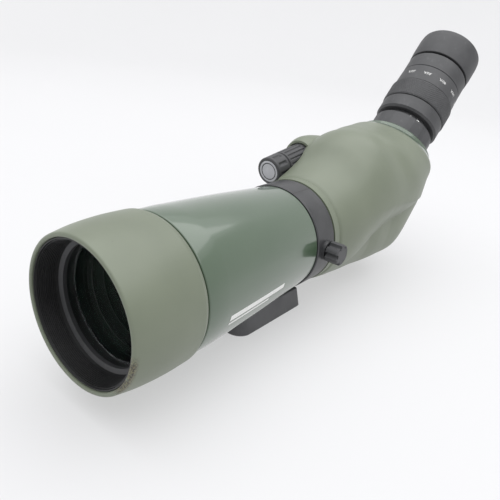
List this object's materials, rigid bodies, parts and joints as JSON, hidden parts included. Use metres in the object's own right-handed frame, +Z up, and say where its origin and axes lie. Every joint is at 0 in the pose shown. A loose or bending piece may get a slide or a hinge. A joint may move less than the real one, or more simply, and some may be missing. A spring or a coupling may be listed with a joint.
{
  "type": "spotting scope",
  "caption": "Angled zoom spotting scope with a sliding sunshade, a rotating tripod collar with foot, coaxial focus knobs and a twist-up eyecup.",
  "frame": {"origin": "mouth of the tripod socket, in the middle of the foot's bottom face", "axes": "+X towards the user's left (lock knob side), +Y rearwards along the optical axis from the sunshade to the eyepiece, +Z up away from the foot"},
  "size_m": [0.0971, 0.4253, 0.2017],
  "materials": {
    "armour_rubber": "moulded sage-green rubber armour, satin",
    "tube_paint": "glossy dark green finish",
    "black_anodised": "satin black anodised",
    "black_plastic": "satin black moulded plastic",
    "black_rubber": "matt black rubber",
    "interior_black": "matt black inside",
    "casting": "glass-filled housing",
    "steel": "turned steel",
    "brass": "turned brass",
    "coated_glass": "green multi-coated optical glass",
    "prism_glass": "polished optical glass",
    "felt": "black felt",
    "nylon": "natural nylon",
    "cork": "cork",
    "disc_grey": "light grey satin disc",
    "chrome": "bright chrome"
  },
  "bodies": {
    "collar": {"tripod_collar": "black_anodised", "collar_liner": "nylon", "foot": "black_anodised", "foot_screws": "steel", "tripod_bush": "steel"},
    "lock": {"lock_knob": "black_plastic", "lock_screw": "steel"},
    "scope": {"objective_barrel": "interior_black", "retaining_ring": "black_anodised", "front_element": "coated_glass", "element_spacer": "interior_black", "rear_element": "coated_glass", "baffle_rings": "interior_black", "main_tube": "tube_paint", "housing_armour": "armour_rubber", "prism_housing": "casting", "neck_screws": "steel", "focus_bushing": "brass", "roof_prism": "prism_glass", "prism_pads": "cork", "prism_cage": "interior_black", "cage_screws": "steel", "eyepiece_port": "tube_paint", "guide_rods": "steel", "rod_brace": "interior_black"},
    "sunshade": {"sunshade_armour": "armour_rubber", "sunshade_sleeve": "interior_black", "sunshade_felt": "felt"},
    "coarse_focus": {"coarse_knob": "black_rubber", "focus_spindle": "steel"},
    "fine_focus": {"fine_knob": "black_rubber", "knob_disc": "disc_grey"},
    "focus_screw": {"lead_screw": "brass"},
    "focus_carriage": {"lens_carriage": "interior_black", "focusing_lens": "prism_glass"},
    "eyepiece_lock": {"eyepiece_lock_collar": "black_plastic"},
    "eyepiece": {"nosepiece": "chrome", "eyepiece_body": "interior_black", "base_ring": "black_plastic", "upper_ring": "black_plastic", "field_lens": "coated_glass", "eye_lens": "coated_glass", "eye_lens_ring": "interior_black"},
    "zoom": {"zoom_ring": "black_plastic", "zoom_grip": "black_rubber", "number_ring": "black_plastic"},
    "variator": {"variator_cell": "interior_black", "variator_lens": "prism_glass"},
    "compensator": {"compensator_cell": "interior_black", "compensator_lens": "prism_glass"},
    "eyecup_carrier": {"helicoid_sleeve": "interior_black"},
    "eyecup": {"eyecup_core": "interior_black", "eyecup_rubber": "black_rubber"}
  },
  "joints": [
    {"name": "collar_rotation", "type": "hinge", "parent": "collar", "child": "scope", "pos_m": [0, 0.0176, 0.057], "axis": [0, 1, 0], "continuous": true},
    {"name": "lock_turn", "type": "hinge", "parent": "collar", "child": "lock", "pos_m": [0, 0.0176, 0.057], "axis": [0.9982, 0, 0.0593], "range_deg": [0, 300]},
    {"name": "sunshade_slide", "type": "slide", "parent": "scope", "child": "sunshade", "axis": [0, -1, 0], "range_m": [0, 0.03]},
    {"name": "coarse_focus_turn", "type": "hinge", "parent": "scope", "child": "coarse_focus", "pos_m": [-0.032, 0.0369, 0.0904], "axis": [0, 0.9888, 0.1495], "range_deg": [-360, 360]},
    {"name": "fine_focus_turn", "type": "hinge", "parent": "coarse_focus", "child": "fine_focus", "pos_m": [-0.032, 0.0369, 0.0904], "axis": [0, 0.9888, 0.1495], "continuous": true},
    {"name": "focus_screw_turn", "type": "hinge", "parent": "scope", "child": "focus_screw", "pos_m": [-0.032, 0.0507, 0.0978], "axis": [0, 1, 0], "range_deg": [-360, 360]},
    {"name": "focus_carriage_slide", "type": "slide", "parent": "scope", "child": "focus_carriage", "axis": [0, 1, 0], "range_m": [-0.007, 0.007]},
    {"name": "eyepiece_lock_turn", "type": "hinge", "parent": "scope", "child": "eyepiece_lock", "pos_m": [0, 0.1808, 0.1065], "axis": [0, 0.7071, 0.7071], "range_deg": [0, 90]},
    {"name": "eyepiece_slide", "type": "slide", "parent": "scope", "child": "eyepiece", "axis": [0, 0.7071, 0.7071], "range_m": [0, 0.02]},
    {"name": "zoom_turn", "type": "hinge", "parent": "eyepiece", "child": "zoom", "pos_m": [0, 0.20908, 0.13478], "axis": [0, 0.7071, 0.7071], "range_deg": [-70, 70]},
    {"name": "variator_slide", "type": "slide", "parent": "eyepiece", "child": "variator", "axis": [0, 0.7071, 0.7071], "range_m": [-0.0055, 0.0055]},
    {"name": "compensator_slide", "type": "slide", "parent": "eyepiece", "child": "compensator", "axis": [0, 0.7071, 0.7071], "range_m": [-0.003, 0.003]},
    {"name": "eyecup_lift", "type": "slide", "parent": "eyepiece", "child": "eyecup_carrier", "axis": [0, 0.7071, 0.7071], "range_m": [0, 0.009]},
    {"name": "eyecup_twist", "type": "hinge", "parent": "eyecup_carrier", "child": "eyecup", "pos_m": [0, 0.24444, 0.17014], "axis": [0, 0.7071, 0.7071], "range_deg": [0, 180]}
  ],
  "couplings": [
    {"joint": "coarse_focus_turn", "follows": "focus_carriage_slide", "rad_per_m": 897.6},
    {"joint": "focus_screw_turn", "follows": "focus_carriage_slide", "rad_per_m": 897.6},
    {"joint": "variator_slide", "follows": "zoom_turn", "m_per_rad": 0.0045018},
    {"joint": "compensator_slide", "follows": "zoom_turn", "m_per_rad": -0.0024555},
    {"joint": "eyecup_twist", "follows": "eyecup_lift", "rad_per_m": 349.07}
  ]
}
